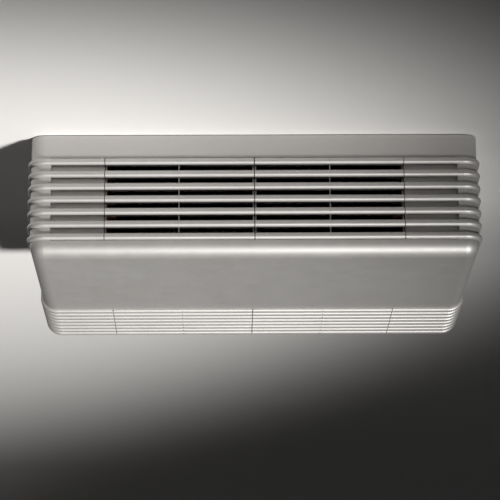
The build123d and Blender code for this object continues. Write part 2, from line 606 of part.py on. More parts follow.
with BuildPart() as valve_tails:
    for x, y in (flow_at, return_at):
        rod((x, y, VALVE_END), (x, y, TAIL_TOP), 9)
        rod((x, y, VALVE_END - 1), (x, y, TAIL_TOP + 1), SITE_PIPE_R, Mode.SUBTRACT)
save(valve_tails, "valve_tails")

with BuildPart() as valve_nuts:
    for x, y in (flow_at, return_at):
        for low, flats in ((VALVE_TOP - 13, 21), (VALVE_END + 1, 23)):
            hexagon((x, y, low), (x, y, low + 11), flats)
            rod((x, y, low - 1), (x, y, low + 12), 9.02, Mode.SUBTRACT)
save(valve_nuts, "valve_nuts")

# Butterfly handles, upright along the pipe when the valve is open
for name, at in (("flow_handle", flow_at), ("return_handle", return_at)):
    x, y = at[0], at[1] - STEM_Y
    with BuildPart() as handle:
        rod((x, y - 0.4, VALVE_Z), (x, y - 8.4, VALVE_Z), 6.5)
        with BuildSketch(Plane.XZ.offset(-(y - 4.4))):
            with Locations((x, VALVE_Z)):
                SlotOverall(34, 7, rotation=90)
        extrude(amount=4)
        rod((x, y, VALVE_Z), (x, y - 8.2, VALVE_Z), 3 + RUNNING, Mode.SUBTRACT)
    save(handle, name)

vent_base = tube_z[0] + PIPE_R + 4
with BuildPart() as air_vent:
    hexagon((*vent_at, vent_base), (*vent_at, vent_base + 8), 13)
    rod((*vent_at, vent_base + 8), (*vent_at, vent_base + 13), 5)
    rod((*vent_at, vent_base - 1), (*vent_at, vent_base + 14), 2.5, Mode.SUBTRACT)
save(air_vent, "air_vent")

with BuildPart() as vent_spindle:
    rod((*vent_at, vent_base + 3), (*vent_at, vent_base + 13), 2.5 - RUNNING)
    with Locations((*vent_at, vent_base + 16.5)):
        Box(5, 5, 7)
save(vent_spindle, "vent_spindle")

with BuildPart() as pipe_grommets:
    for x, y in (flow_at, return_at):
        rod((x, y, CHASSIS_BASE - 1.6), (x, y, FLOOR + 1.6), GROMMET_R + 3)
        block((x - 20, x + 20), (y - 20, y + 20), (CHASSIS_BASE, FLOOR), Mode.SUBTRACT)
        rod((x, y, CHASSIS_BASE), (x, y, FLOOR), GROMMET_R)
        rod((x, y, CHASSIS_BASE - 3), (x, y, FLOOR + 3), SITE_PIPE_R + 0.4, Mode.SUBTRACT)
save(pipe_grommets, "pipe_grommets")

SENSOR_Z = 20.0
with BuildPart() as pipe_thermostat:
    x, y = flow_at[0] + PIPE_R, flow_at[1]
    rod((x, y, SENSOR_Z), (x + 5, y, SENSOR_Z), 9.5)
    rod((x + 5, y, SENSOR_Z), (x + 10, y, SENSOR_Z), 7.5)
    for z in (-4, 4):
        block((x + 10, x + 13), (y - 3, y + 3), (SENSOR_Z + z - 0.4, SENSOR_Z + z + 0.4))
save(pipe_thermostat, "pipe_thermostat")

with BuildPart() as thermostat_clip:
    with BuildSketch(Plane.XY.offset(SENSOR_Z - 4)):
        with Locations(flow_at):
            Circle(PIPE_R + 1.0)
            Circle(PIPE_R, mode=Mode.SUBTRACT)
        with Locations((flow_at[0] + 8, flow_at[1])):
            Rectangle(16, 8, mode=Mode.SUBTRACT)
    extrude(amount=8)
    for out in (-1, 1):
        wing_y = (flow_at[1] + out * 4.5, flow_at[1] + out * 10.7)
        block((flow_at[0] + 4, flow_at[0] + 5), wing_y, (SENSOR_Z - 4, SENSOR_Z + 4))
save(thermostat_clip, "thermostat_clip")

# ---------------------------------------------------------------- controls
BX0, BX1, BY0, BY1, BZ0, BZ1 = BOX
box_screw_z = [BZ0 + 9, BZ1 - 9]
box_x = (BX0 + BX1) / 2
cable_exit_x = [-240.0, -229.0]
with BuildPart() as control_box:
    block((BX0, BX1), (BY0, BY1), (BZ0, BZ1))
    block((BX0 + THIN, BX1 - THIN), (BY0 - 1, BY1 - THIN), (BZ0 + THIN, BZ1 - THIN), Mode.SUBTRACT)
    for z, wall in ((box_screw_z[0], BZ0), (box_screw_z[1], BZ1)):
        block((box_x - 7, box_x + 7), (BY0, BY0 + THIN), (min(z - 6, wall), max(z + 6, wall)))
        rod((box_x, BY0 - 1, z), (box_x, BY0 + 3, z), 1.6, Mode.SUBTRACT)
    cable_holes = (
        (cable_exit_x[0], SENSOR_LINE_Y, 2.4),
        (cable_exit_x[1], CABLE_LINE_Y, 3.6),
        (GLAND_AT[0], -35, 8),
    )
    for x, y, hole_r in cable_holes:
        rod((x, y, BZ0 - 1), (x, y, BZ0 + 2), hole_r, Mode.SUBTRACT)
save(control_box, "control_box")

with BuildPart() as control_box_lid:
    block((BX0 - 1.4, BX1 + 1.4), (BY0 - THIN, BY0), (BZ0 - 1.4, BZ1 + 1.4))
    for x in ((BX0 - 1.4, BX0 - 0.2), (BX1 + 0.2, BX1 + 1.4)):
        block(x, (BY0, BY0 + 8), (BZ0 - 1.4, BZ1 + 1.4))
    for z in box_screw_z:
        rod((box_x, BY0 - 3, z), (box_x, BY0 + 1, z), 1.6, Mode.SUBTRACT)
save(control_box_lid, "control_box_lid")

with BuildPart() as lid_screws:
    for z in box_screw_z:
        screw((box_x, BY0 - THIN, z), (box_x, BY0 + 4, z), 3.2, 1.55, 2.0)
save(lid_screws, "lid_screws")

BOARD_Y = (-16.0, -14.4)
face = BOARD_Y[0]
board_holes = [(x, z) for x in (-275.0, -229.5) for z in (-22.0, 72.0)]
with BuildPart() as circuit_board:
    block((-279, -225.5), BOARD_Y, (-26, 76))
    for x, z in board_holes:
        rod((x, BOARD_Y[0] - 1, z), (x, BOARD_Y[1] + 1, z), 1.6, Mode.SUBTRACT)
save(circuit_board, "circuit_board")

with BuildPart() as board_posts:
    for x, z in board_holes:
        hexagon((x, BOARD_Y[1], z), (x, BY1 - THIN, z), 5.5)
        screw((x, BOARD_Y[0], z), (x, BOARD_Y[1], z), 2.6, 1.55, 1.6)
save(board_posts, "board_posts")

with BuildPart() as transformer:
    block((-271, -243), (face - 24, face), (42, 66))
    block((-268, -246), (face - 28, face - 2), (37, 71))
save(transformer, "transformer")

with BuildPart() as board_components:
    for z in (4, 26):
        block((-242, -228), (face - 16, face), (z, z + 18))
        fillet(edges().filter_by(Axis.Y).group_by(Axis.Z)[-1], 1.0)
    for x, z, r, h in ((-268, 24, 6, 20), (-253, 24, 5, 14), (-268, 8, 4, 12)):
        rod((x, face, z), (x, face - h, z), r)
    block((-260, -246), (face - 6, face), (2, 9))
    block((-238, -234), (face - 9, face), (48, 66))
    block((-268, -236), (face - 11, face), (-18, -7))
save(board_components, "board_components")

with BuildPart() as terminal_block:
    block((-277, -229), (-24, BY1 - THIN), (-58, -36))
    for k in range(5):
        x = -272.3 + k * 9.6
        rod((x, -25, -47), (x, -12, -47), 2.6, Mode.SUBTRACT)
        rod((x, -18, -59), (x, -18, -35), 1.6, Mode.SUBTRACT)
save(terminal_block, "terminal_block")

with BuildPart() as cable_gland:
    x, y = GLAND_AT
    hexagon((x, y, CHASSIS_BASE - 4.5), (x, y, CHASSIS_BASE), 21)
    rod((x, y, CHASSIS_BASE), (x, y, FLOOR + 13), GLAND_R - 0.05)
    rod((x, y, CHASSIS_BASE - 6), (x, y, FLOOR + 14), CABLE_BORE, Mode.SUBTRACT)
save(cable_gland, "cable_gland")

with BuildPart() as gland_nut:
    hexagon((*GLAND_AT, FLOOR), (*GLAND_AT, FLOOR + 5), 22)
    rod((*GLAND_AT, FLOOR - 1), (*GLAND_AT, FLOOR + 6), GLAND_R, Mode.SUBTRACT)
save(gland_nut, "gland_nut")

# Rocker switches in the underside: a snap-in housing and a rocker on its own pin
PIVOT_Z = CHASSIS_BASE + 2.0
for k, name in enumerate(("speed", "season")):
    x = switch_x[k]
    half_x, half_y = SWITCH_HALF
    with BuildPart() as switch_housing:
        block((x - half_x, x + half_x), (SWITCH_Y - half_y, SWITCH_Y + half_y), (FLOOR, FLOOR + 15))
        neck = 0.55
        block(
            (x - half_x + neck, x + half_x - neck),
            (SWITCH_Y - half_y + neck, SWITCH_Y + half_y - neck),
            (CHASSIS_BASE, FLOOR),
        )
        bezel_y = (SWITCH_Y - half_y - 1.5, SWITCH_Y + half_y + 1.5)
        block((x - half_x - 1, x + half_x + 1), bezel_y, (CHASSIS_BASE - 1.6, CHASSIS_BASE))
        window_y = (SWITCH_Y - ROCKER_R - 0.3, SWITCH_Y + ROCKER_R + 0.3)
        block((x - 4.7, x + 4.7), window_y, (CHASSIS_BASE - 2, PIVOT_Z + ROCKER_R), Mode.SUBTRACT)
        rod((x - 6, SWITCH_Y, PIVOT_Z), (x + 6, SWITCH_Y, PIVOT_Z), 1.0 + RUNNING, Mode.SUBTRACT)
        for dy in (-7, 0, 7):
            block((x - 2.4, x + 2.4), (SWITCH_Y + dy - 0.4, SWITCH_Y + dy + 0.4), (FLOOR + 15, FLOOR + 23))
    save(switch_housing, f"{name}_switch")
    with BuildPart() as rocker:
        with BuildSketch(Plane.YZ.offset(x - 4.4)):
            with Locations((SWITCH_Y, PIVOT_Z)):
                Circle(ROCKER_R)
            with BuildLine():
                Polyline(
                    (SWITCH_Y - 9, PIVOT_Z - 5.6),
                    (SWITCH_Y, PIVOT_Z - 4.2),
                    (SWITCH_Y + 9, PIVOT_Z - 5.6),
                    (SWITCH_Y + 9, PIVOT_Z + 2),
                    (SWITCH_Y - 9, PIVOT_Z + 2),
                    close=True,
                )
            make_face(mode=Mode.INTERSECT)
        extrude(amount=8.8)
        rod((x - 5.9, SWITCH_Y, PIVOT_Z), (x + 5.9, SWITCH_Y, PIVOT_Z), 1.0)
    save(rocker, f"{name}_rocker")

# ---------------------------------------------------------------- internal wiring
motor_lead = [
    (cable_exit_x[1], CABLE_LINE_Y, BZ0 + 8),
    (cable_exit_x[1], CABLE_LINE_Y, CABLE_LINE_Z),
    (230, CABLE_LINE_Y, CABLE_LINE_Z),
    (230, FAN_Y + 2, CABLE_LINE_Z),
    (230, FAN_Y + 2, LIMB_Z[0] - 4.5),
]
with BuildPart() as motor_cable:
    with BuildLine() as run:
        FilletPolyline(*motor_lead, radius=20)
    with BuildSketch(Plane(run.line ^ 0)):
        Circle(MOTOR_CABLE_R)
    sweep(path=run.line)
save(motor_cable, "motor_cable")

sensor_lead = [
    (cable_exit_x[0], SENSOR_LINE_Y, BZ0 + 8),
    (cable_exit_x[0], SENSOR_LINE_Y, SENSOR_LINE_Z),
    (282, SENSOR_LINE_Y, SENSOR_LINE_Z),
    (282, SENSOR_LINE_Y, SENSOR_Z),
    (282, flow_at[1], SENSOR_Z),
    (flow_at[0] + PIPE_R + 10, flow_at[1], SENSOR_Z),
]
with BuildPart() as sensor_cable:
    with BuildLine() as run:
        FilletPolyline(*sensor_lead, radius=9)
    with BuildSketch(Plane(run.line ^ 0)):
        Circle(SENSOR_CABLE_R)
    sweep(path=run.line)
save(sensor_cable, "sensor_cable")

with BuildPart() as cable_clips:
    for x in (-150, 0, 150):
        block((x - 4, x + 4), (CABLE_LINE_Y - 5, -SHEET), (CABLE_LINE_Z - 5, CABLE_LINE_Z + 5))
        start, end = (x - 5, CABLE_LINE_Y, CABLE_LINE_Z), (x + 5, CABLE_LINE_Y, CABLE_LINE_Z)
        rod(start, end, MOTOR_CABLE_R + 0.05, Mode.SUBTRACT)
save(cable_clips, "cable_clips")
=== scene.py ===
"""Looks of the wall-hung fan convector heater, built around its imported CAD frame. Metres."""

import json
import math

import bpy
from mathutils import Matrix, Vector


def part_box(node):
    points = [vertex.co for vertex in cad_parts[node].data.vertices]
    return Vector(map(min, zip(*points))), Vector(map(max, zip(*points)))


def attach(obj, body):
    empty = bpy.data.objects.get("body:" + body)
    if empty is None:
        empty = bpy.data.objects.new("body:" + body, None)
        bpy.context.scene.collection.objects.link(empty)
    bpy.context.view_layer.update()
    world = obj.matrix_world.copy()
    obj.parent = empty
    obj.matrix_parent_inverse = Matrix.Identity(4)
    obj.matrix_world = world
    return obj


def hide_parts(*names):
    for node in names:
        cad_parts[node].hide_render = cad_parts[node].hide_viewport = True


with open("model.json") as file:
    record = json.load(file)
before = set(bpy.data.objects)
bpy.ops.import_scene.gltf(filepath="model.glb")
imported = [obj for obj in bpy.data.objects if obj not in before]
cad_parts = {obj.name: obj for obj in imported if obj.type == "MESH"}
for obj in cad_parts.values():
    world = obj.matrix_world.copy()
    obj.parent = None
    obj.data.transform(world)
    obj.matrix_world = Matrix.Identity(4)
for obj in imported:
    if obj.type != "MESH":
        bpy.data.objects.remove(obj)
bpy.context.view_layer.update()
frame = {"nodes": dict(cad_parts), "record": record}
MM = 0.001

# The colour sockets of Blender's Mix node, and the length of one wave of its wave texture at
# a scale of 1.
MIX_FIRST, MIX_SECOND, MIX_RESULT = 6, 7, 2
WAVE_LENGTH = math.pi / 10.0


# ---------------------------------------------------------------- materials
class Finish:
    """A Principled material whose textures follow each piece's rest position."""

    def __init__(self, name, metallic=0.0, **constants):
        self.material = bpy.data.materials.new(name)
        self.material.use_nodes = True
        self.tree = self.material.node_tree
        self.shader = self.tree.nodes["Principled BSDF"]
        self.shader.inputs["Metallic"].default_value = metallic
        for socket, value in constants.items():
            self.shader.inputs[socket.replace("_", " ")].default_value = value
        self.place = self.node("ShaderNodeTexCoord").outputs["Object"]

    def node(self, kind, **settings):
        made = self.tree.nodes.new(kind)
        for key, value in settings.items():
            setattr(made, key, value)
        return made

    def join(self, value, socket):
        """Puts a link, a number or a colour into a socket."""
        if isinstance(value, bpy.types.NodeSocket):
            self.tree.links.new(value, socket)
        elif isinstance(value, tuple) and len(value) == 3 and socket.type == "RGBA":
            socket.default_value = (*value, 1.0)
        else:
            socket.default_value = value

    def stretched(self, stretch):
        """The texture position, scaled along each axis."""
        mapping = self.node("ShaderNodeMapping")
        self.join(self.place, mapping.inputs["Vector"])
        mapping.inputs["Scale"].default_value = stretch
        return mapping.outputs["Vector"]

    def noise(self, size, detail=3.0, rough=0.55, stretch=None):
        """Cloudy noise whose blobs are about size metres across."""
        tex = self.node("ShaderNodeTexNoise")
        self.join(self.stretched(stretch) if stretch else self.place, tex.inputs["Vector"])
        tex.inputs["Scale"].default_value = 1.0 / size
        tex.inputs["Detail"].default_value = detail
        tex.inputs["Roughness"].default_value = rough
        return tex.outputs["Fac"]

    def cells(self, size, output="Distance", feature="F1", stretch=None):
        """Voronoi cells about size metres across."""
        tex = self.node("ShaderNodeTexVoronoi", feature=feature)
        self.join(self.stretched(stretch) if stretch else self.place, tex.inputs["Vector"])
        tex.inputs["Scale"].default_value = 1.0 / size
        return tex.outputs[output]

    def stripes(self, pitch, axis, distortion=0.0):
        """Sine stripes of a pitch in metres across one axis."""
        tex = self.node("ShaderNodeTexWave", bands_direction=axis)
        self.join(self.place, tex.inputs["Vector"])
        tex.inputs["Scale"].default_value = WAVE_LENGTH / pitch
        tex.inputs["Distortion"].default_value = distortion
        tex.inputs["Detail"].default_value = 1.0
        return tex.outputs["Fac"]

    def levels(self, value, low, high, start=0.3, stop=0.7):
        """Stretches a value's span from start to stop over low to high."""
        ranged = self.node("ShaderNodeMapRange")
        self.join(value, ranged.inputs["Value"])
        ranged.inputs["From Min"].default_value = start
        ranged.inputs["From Max"].default_value = stop
        ranged.inputs["To Min"].default_value = low
        ranged.inputs["To Max"].default_value = high
        return ranged.outputs["Result"]

    def mix(self, share, first, second, blend="MIX"):
        """Blends two colours; a share of 1 gives the second."""
        mixed = self.node("ShaderNodeMix", data_type="RGBA", blend_type=blend)
        self.join(share, mixed.inputs["Factor"])
        self.join(first, mixed.inputs[MIX_FIRST])
        self.join(second, mixed.inputs[MIX_SECOND])
        return mixed.outputs[MIX_RESULT]

    def mask(self, value, start, stop):
        """0 below start and 1 above stop."""
        return self.levels(value, 0.0, 1.0, start, stop)

    def between(self, mask, low, high):
        """Turns a mask of 0 to 1 into low to high."""
        return self.levels(mask, low, high, 0.0, 1.0)

    def patches(self, size, start, stop, detail=6.0, rough=0.7):
        """A mask of ragged patches about size metres across."""
        return self.mask(self.noise(size, detail, rough), start, stop)

    def film(self, base, mask, share, colour):
        """Lays a share of a colour over the masked areas of a base."""
        return self.mix(self.between(mask, 0.0, share), base, colour)

    def bump(self, height, depth, before=None):
        """Surface relief of a depth in metres, laid over an earlier bump."""
        made = self.node("ShaderNodeBump")
        made.inputs["Strength"].default_value = 1.0
        made.inputs["Distance"].default_value = depth
        self.join(height, made.inputs["Height"])
        if before is not None:
            self.join(before, made.inputs["Normal"])
        return made.outputs["Normal"]

    def done(self, colour, roughness, normal):
        """Wires up the shader and gives the finished material."""
        self.join(colour, self.shader.inputs["Base Color"])
        self.join(roughness, self.shader.inputs["Roughness"])
        self.join(normal, self.shader.inputs["Normal"])
        return self.material


def grey(level, warm=0.0):
    """A grey whose red is raised and blue lowered by the share warm."""
    return (level * (1 + warm), level, level * (1 - warm))


def silver_paint():
    """Satin warm-grey metallic paint with fine flake and a little orange peel."""
    f = Finish("casing_silver", metallic=0.56)
    broad = f.levels(f.noise(0.16, 2.0), 0.0, 1.0)
    base = f.mix(broad, grey(0.480, 0.025), grey(0.510, 0.018))
    base = f.mix(0.06, base, f.cells(0.0005, "Color"), "OVERLAY")
    base = f.film(base, f.patches(0.035, 0.60, 0.78), 0.10, grey(0.50, 0.02))
    rough = f.levels(f.noise(0.02, 5.0, 0.65), 0.45, 0.53)
    peel = f.bump(f.noise(0.0016, 2.0), 0.00002)
    return f.done(base, rough, f.bump(f.noise(0.0003, 1.0), 0.000004, peel))


def zinc_steel():
    """Galvanised sheet: spangle, dull patches and white bloom."""
    f = Finish("zinc_steel", metallic=0.95)
    tone = f.node("ShaderNodeSeparateColor")
    f.join(f.cells(0.011, "Color", stretch=(1.0, 1.0, 0.8)), tone.inputs["Color"])
    spangle = tone.outputs["Red"]
    base = f.mix(spangle, grey(0.50), grey(0.66))
    base = f.film(base, f.patches(0.05, 0.52, 0.72), 0.45, grey(0.70, 0.01))
    rough = f.between(spangle, 0.34, 0.46)
    return f.done(base, rough, f.bump(f.noise(0.006, 4.0), 0.00003))


def turned_steel():
    """Zinc-plated screws, shafts and the rotor, with turning lines and darker oil marks."""
    f = Finish("steel", metallic=1.0)
    oil = f.patches(0.008, 0.48, 0.70, detail=5.0)
    base = f.mix(oil, grey(0.60, 0.01), grey(0.30, 0.06))
    rough = f.levels(f.noise(0.003, 4.0), 0.22, 0.42)
    lines = f.bump(f.stripes(0.0004, "X", 1.5), 0.000012)
    return f.done(base, rough, lines)


def coated_sheet(name, level, rough_span, grain, relief, warm=0.0):
    """A dark coat or moulding with fine grain, dusty patches and dull rubs."""
    f = Finish(name)
    base = f.mix(f.noise(0.012, 4.0), grey(level * 0.8, warm), grey(level * 1.25, warm))
    dust = f.patches(0.04, 0.50, 0.80, detail=7.0)
    base = f.film(base, dust, 0.22, grey(0.22, 0.05))
    rough = f.levels(f.noise(0.010, 5.0), *rough_span)
    return f.done(base, rough, f.bump(f.noise(grain, 2.0), relief))


def foam():
    """Open-cell sealing foam, with painted shade in the hollows of its pores."""
    f = Finish("gasket_foam")
    pores = f.cells(0.0012)
    # Darker towards each pore's centre, where the bump sinks: painted shade in the hollows.
    base = f.mix(f.mask(pores, 0.15, 0.6), grey(0.012), grey(0.055))
    return f.done(base, 0.92, f.bump(pores, 0.0004))


def rubber():
    """Matt black rubber with a dusty bloom."""
    f = Finish("rubber")
    base = f.film(grey(0.022), f.patches(0.010, 0.50, 0.75), 0.35, grey(0.10, 0.03))
    rough = f.levels(f.noise(0.004, 4.0), 0.62, 0.80)
    return f.done(base, rough, f.bump(f.noise(0.0008), 0.00003))


def fan_alloy():
    """Rolled aluminium strip of the impeller, with a light film of dust."""
    f = Finish("fan_alloy", metallic=1.0)
    dust = f.patches(0.03, 0.45, 0.75)
    rolled = f.noise(0.0012, 3.0, 0.6, stretch=(0.05, 1.0, 1.0))
    base = f.mix(rolled, grey(0.60), grey(0.76))
    base = f.film(base, dust, 0.4, grey(0.34, 0.05))
    return f.done(base, f.between(dust, 0.24, 0.50), f.bump(rolled, 0.00001))


def brass():
    """Machined brass with dull brown tarnish in patches."""
    f = Finish("brass", metallic=1.0)
    tarnish = f.patches(0.012, 0.42, 0.70, rough=0.72)
    base = f.film((0.78, 0.57, 0.26), tarnish, 0.65, (0.36, 0.22, 0.10))
    lines = f.bump(f.stripes(0.0005, "Z", 0.8), 0.000015)
    relief = f.bump(f.noise(0.002), 0.00002, lines)
    return f.done(base, f.between(tarnish, 0.20, 0.46), relief)


def copper():
    """Drawn copper tube, bright in places and browned by heat in others."""
    f = Finish("copper", metallic=1.0)
    brown = f.patches(0.022, 0.40, 0.68, detail=7.0, rough=0.72)
    base = f.film((0.80, 0.39, 0.25), brown, 0.8, (0.30, 0.13, 0.08))
    spots = f.patches(0.004, 0.62, 0.72, detail=5.0)
    base = f.film(base, spots, 0.4, (0.16, 0.10, 0.07))
    return f.done(base, f.between(brown, 0.18, 0.42), f.bump(f.noise(0.003, 4.0), 0.00002))


def lamination():
    """The edges of stacked core sheets, varnished, with specks of rust."""
    f = Finish("lamination", metallic=0.8)
    sheets = f.stripes(0.0010, "X")
    base = f.mix(sheets, grey(0.07, 0.05), grey(0.34, 0.03))
    rust = f.patches(0.004, 0.58, 0.70, rough=0.75)
    base = f.film(base, rust, 0.6, (0.18, 0.07, 0.03))
    return f.done(base, f.levels(f.noise(0.003), 0.32, 0.55), f.bump(sheets, 0.00012))


def winding():
    """Enamelled copper wire under amber varnish."""
    f = Finish("winding", metallic=0.85, Coat_Weight=0.5, Coat_Roughness=0.15)
    base = f.mix(f.noise(0.004, 4.0), (0.36, 0.12, 0.05), (0.62, 0.27, 0.11))
    return f.done(base, f.levels(f.noise(0.002), 0.25, 0.40), f.bump(f.noise(0.001), 0.00002))


def fin_black():
    """Black epoxy coat on the coil's thin fins, with lint; the near-black also serves as
    painted shade for the dark inside seen through the grille.
    """
    f = Finish("fin_black", metallic=0.15)
    # Near-black base: the coat's own colour and painted shade of the heater's dark inside in
    # one.
    base = f.mix(f.noise(0.006), grey(0.010), grey(0.026))
    lint = f.patches(0.018, 0.55, 0.78, detail=8.0, rough=0.75)
    base = f.film(base, lint, 0.35, grey(0.20, 0.06))
    rough = f.levels(f.noise(0.008), 0.40, 0.62)
    return f.done(base, rough, f.bump(f.noise(0.0012), 0.00004))


def coloured_plastic(name, dark, light):
    """Moulded plastic with a fine grain and lighter rubbed areas."""
    f = Finish(name)
    base = f.mix(f.patches(0.010, 0.45, 0.75), dark, light)
    rough = f.levels(f.noise(0.004, 4.0), 0.32, 0.50)
    return f.done(base, rough, f.bump(f.noise(0.0007), 0.00003))


def board():
    """Green circuit board with tracks of tinned copper under the resist."""
    f = Finish("board", Coat_Weight=0.3, Coat_Roughness=0.2)
    tracks = f.cells(0.006, "Distance", "DISTANCE_TO_EDGE")
    base = f.mix(f.mask(tracks, 0.05, 0.09), (0.10, 0.30, 0.12), (0.015, 0.10, 0.035))
    base = f.mix(f.levels(f.noise(0.01), 0.0, 0.3), base, (0.01, 0.06, 0.025))
    return f.done(base, f.levels(f.noise(0.004), 0.30, 0.45), f.bump(tracks, 0.00003))


def net():
    """Woven nylon yarn."""
    f = Finish("filter_net")
    base = f.film(grey(0.05), f.patches(0.02, 0.45, 0.75), 0.6, grey(0.28, 0.05))
    return f.done(base, 0.6, f.bump(f.noise(0.0003), 0.00002))


finishes = {
    "casing_silver": silver_paint(),
    "zinc_steel": zinc_steel(),
    "steel": turned_steel(),
    "duct_black": coated_sheet("duct_black", 0.016, (0.48, 0.66), 0.0009, 0.00003),
    "gasket_foam": foam(),
    "black_plastic": coated_sheet("black_plastic", 0.022, (0.36, 0.54), 0.0006, 0.00003, 0.01),
    "filter_net": net(),
    "fan_alloy": fan_alloy(),
    "brass": brass(),
    "rubber": rubber(),
    "lamination": lamination(),
    "winding": winding(),
    "fin_black": fin_black(),
    "copper": copper(),
    "handle_red": coloured_plastic("handle_red", (0.42, 0.018, 0.014), (0.60, 0.05, 0.035)),
    "handle_blue": coloured_plastic("handle_blue", (0.012, 0.06, 0.34), (0.035, 0.13, 0.50)),
    "board": board(),
    "white_plastic": coloured_plastic("white_plastic", (0.62, 0.60, 0.53), (0.78, 0.77, 0.72)),
    "cable_grey": coloured_plastic("cable_grey", grey(0.16, 0.01), grey(0.24, 0.02)),
}
slot_of = {part["node"]: part["material_slot"] for part in frame["record"]["subparts"]}
for name, node in frame["nodes"].items():
    node.data.materials.clear()
    node.data.materials.append(finishes[slot_of[name]])


# ---------------------------------------------------------------- finer pieces
def linked(name, data):
    """An object in the scene for a mesh, a light or a camera."""
    obj = bpy.data.objects.new(name, data)
    bpy.context.scene.collection.objects.link(obj)
    return obj


def mesh_object(name, verts, faces, finish):
    """A smooth-shaded mesh of one finish."""
    data = bpy.data.meshes.new(name)
    data.from_pydata(verts, [], faces)
    data.materials.append(finish)
    for polygon in data.polygons:
        polygon.use_smooth = True
    return linked(name, data)


def detail(name, verts, faces, body, slot, stands_for=None):
    """A piece of the heater that moves with a body and may stand for a plainer CAD node."""
    obj = mesh_object(name, verts, faces, finishes[slot])
    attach(obj, body)
    if stands_for:
        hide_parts(stands_for)


def ring(centre, across, up, radius, sides):
    """The corners of a regular polygon about a centre."""
    turns = [2 * math.pi * k / sides for k in range(sides)]
    return [centre + radius * (math.cos(t) * across + math.sin(t) * up) for t in turns]


def tube(verts, faces, path, radius, sides):
    """Adds a closed-ended tube along a path of points."""
    steep = 0.9
    start = len(verts)
    for k, point in enumerate(path):
        ahead = (path[min(k + 1, len(path) - 1)] - path[max(k - 1, 0)]).normalized()
        helper = Vector((0, 0, 1)) if abs(ahead.z) < steep else Vector((1, 0, 0))
        across = ahead.cross(helper).normalized()
        verts.extend(ring(point, across, across.cross(ahead), radius, sides))
    for k in range(len(path) - 1):
        for j in range(sides):
            a, b = start + k * sides + j, start + k * sides + (j + 1) % sides
            faces.append((a, b, b + sides, a + sides))
    faces.append(tuple(range(start + sides - 1, start - 1, -1)))
    last = start + (len(path) - 1) * sides
    faces.append(tuple(range(last, last + sides)))


def build_fin_pack():
    """Rippled fins at the real pitch, with the collars that cover the tubes between them."""
    pitch, thickness, first_gap = 2.5 * MM, 0.16 * MM, 0.8 * MM
    ripple, waves = 0.45 * MM, 28
    tube_r, tube_columns = 4.76 * MM, 4
    collar_wall, collar_inset, collar_sides = 0.4 * MM, 2 * MM, 20
    low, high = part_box("coil_fins")
    verts, faces = [], []
    for k in range(round((high.x - low.x) / pitch)):
        x = low.x + first_gap + k * pitch
        for side in (0.0, thickness):
            start = len(verts)
            for j in range(waves + 1):
                y = low.y + (high.y - low.y) * j / waves
                sway = ripple if j % 2 else 0.0
                verts += [(x + side + sway, y, low.z), (x + side + sway, y, high.z)]
            for j in range(waves):
                a = start + 2 * j
                quad = (a, a + 2, a + 3, a + 1)
                faces.append(quad if side else quad[::-1])
    tubes_low, tubes_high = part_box("coil_tubes")
    span = tubes_high.y - tubes_low.y - 2 * tube_r
    for column in range(tube_columns):
        y = tubes_low.y + tube_r + span * column / (tube_columns - 1)
        for z in (tubes_low.z + tube_r, tubes_high.z - tube_r):
            ends = [Vector((x, y, z)) for x in (low.x + collar_inset, high.x - collar_inset)]
            tube(verts, faces, ends, tube_r + collar_wall, collar_sides)
    # Fins and collars take the near-black finish, which keeps the view onto the tubes as dark
    # as painted shade.
    detail("fin_pack", verts, faces, "chassis", "fin_black", "coil_fins")


def build_filter_net():
    """Woven yarns across the bays of the filter frame."""
    low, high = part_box("filter_mesh")
    pitch, yarn, weave, yarn_sides = 2.4 * MM, 0.22 * MM, 0.20 * MM, 4
    middle = (low.y + high.y) / 2
    across = round((high.x - low.x) / pitch)
    tall = round((high.z - low.z) / pitch)
    verts, faces = [], []
    for i in range(1, across):
        x = low.x + (high.x - low.x) * i / across
        path = []
        for j in range(tall + 1):
            y = middle + (weave if (i + j) % 2 else -weave)
            path.append(Vector((x, y, low.z + (high.z - low.z) * j / tall)))
        tube(verts, faces, path, yarn, yarn_sides)
    for j in range(1, tall):
        z = low.z + (high.z - low.z) * j / tall
        path = []
        for i in range(across + 1):
            y = middle + (-weave if (i + j) % 2 else weave)
            path.append(Vector((low.x + (high.x - low.x) * i / across, y, z)))
        tube(verts, faces, path, yarn, yarn_sides)
    detail("filter_net_weave", verts, faces, "filter", "filter_net", "filter_mesh")


def build_winding():
    """The outer layer of the motor's coil: one helix of enamelled wire."""
    low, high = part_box("motor_coil")
    wire, wire_sides = 0.55 * MM, 7
    corner, steps = 4 * MM, 6
    drawn_share = 0.97  # of the wire's radius, so that neighbouring turns stay apart
    reach = corner - wire
    outline = []
    inner = [(high.x - corner, high.z - corner), (low.x + corner, high.z - corner)]
    inner += [(low.x + corner, low.z + corner), (high.x - corner, low.z + corner)]
    for quarter, (x, z) in enumerate(inner):
        for k in range(steps + 1):
            turn = math.pi / 2 * (quarter + k / steps)
            outline.append((x + reach * math.cos(turn), z + reach * math.sin(turn)))
    turns = int((high.y - low.y - 2 * wire) / (2 * wire))
    count = len(outline)
    path = []
    for k in range(turns * count):
        x, z = outline[k % count]
        path.append(Vector((x, low.y + wire + 2 * wire * k / count, z)))
    verts, faces = [], []
    tube(verts, faces, path, wire * drawn_share, wire_sides)
    detail("coil_turns", verts, faces, "chassis", "winding")


build_fin_pack()
build_filter_net()
build_winding()


# ---------------------------------------------------------------- stage
FLOOR_Z = -2.6
SWEEP_R = 0.6
SWEEP_STEPS = 24
WALL_GAP = 0.001
WALL_TOP = 3.0
ROOM = 30.0
# The hole in the wall: how far inside the back plate's edges it stays, and its row and column.
HOLE_INSET = 0.01
HOLE_CELL = (1, 1)


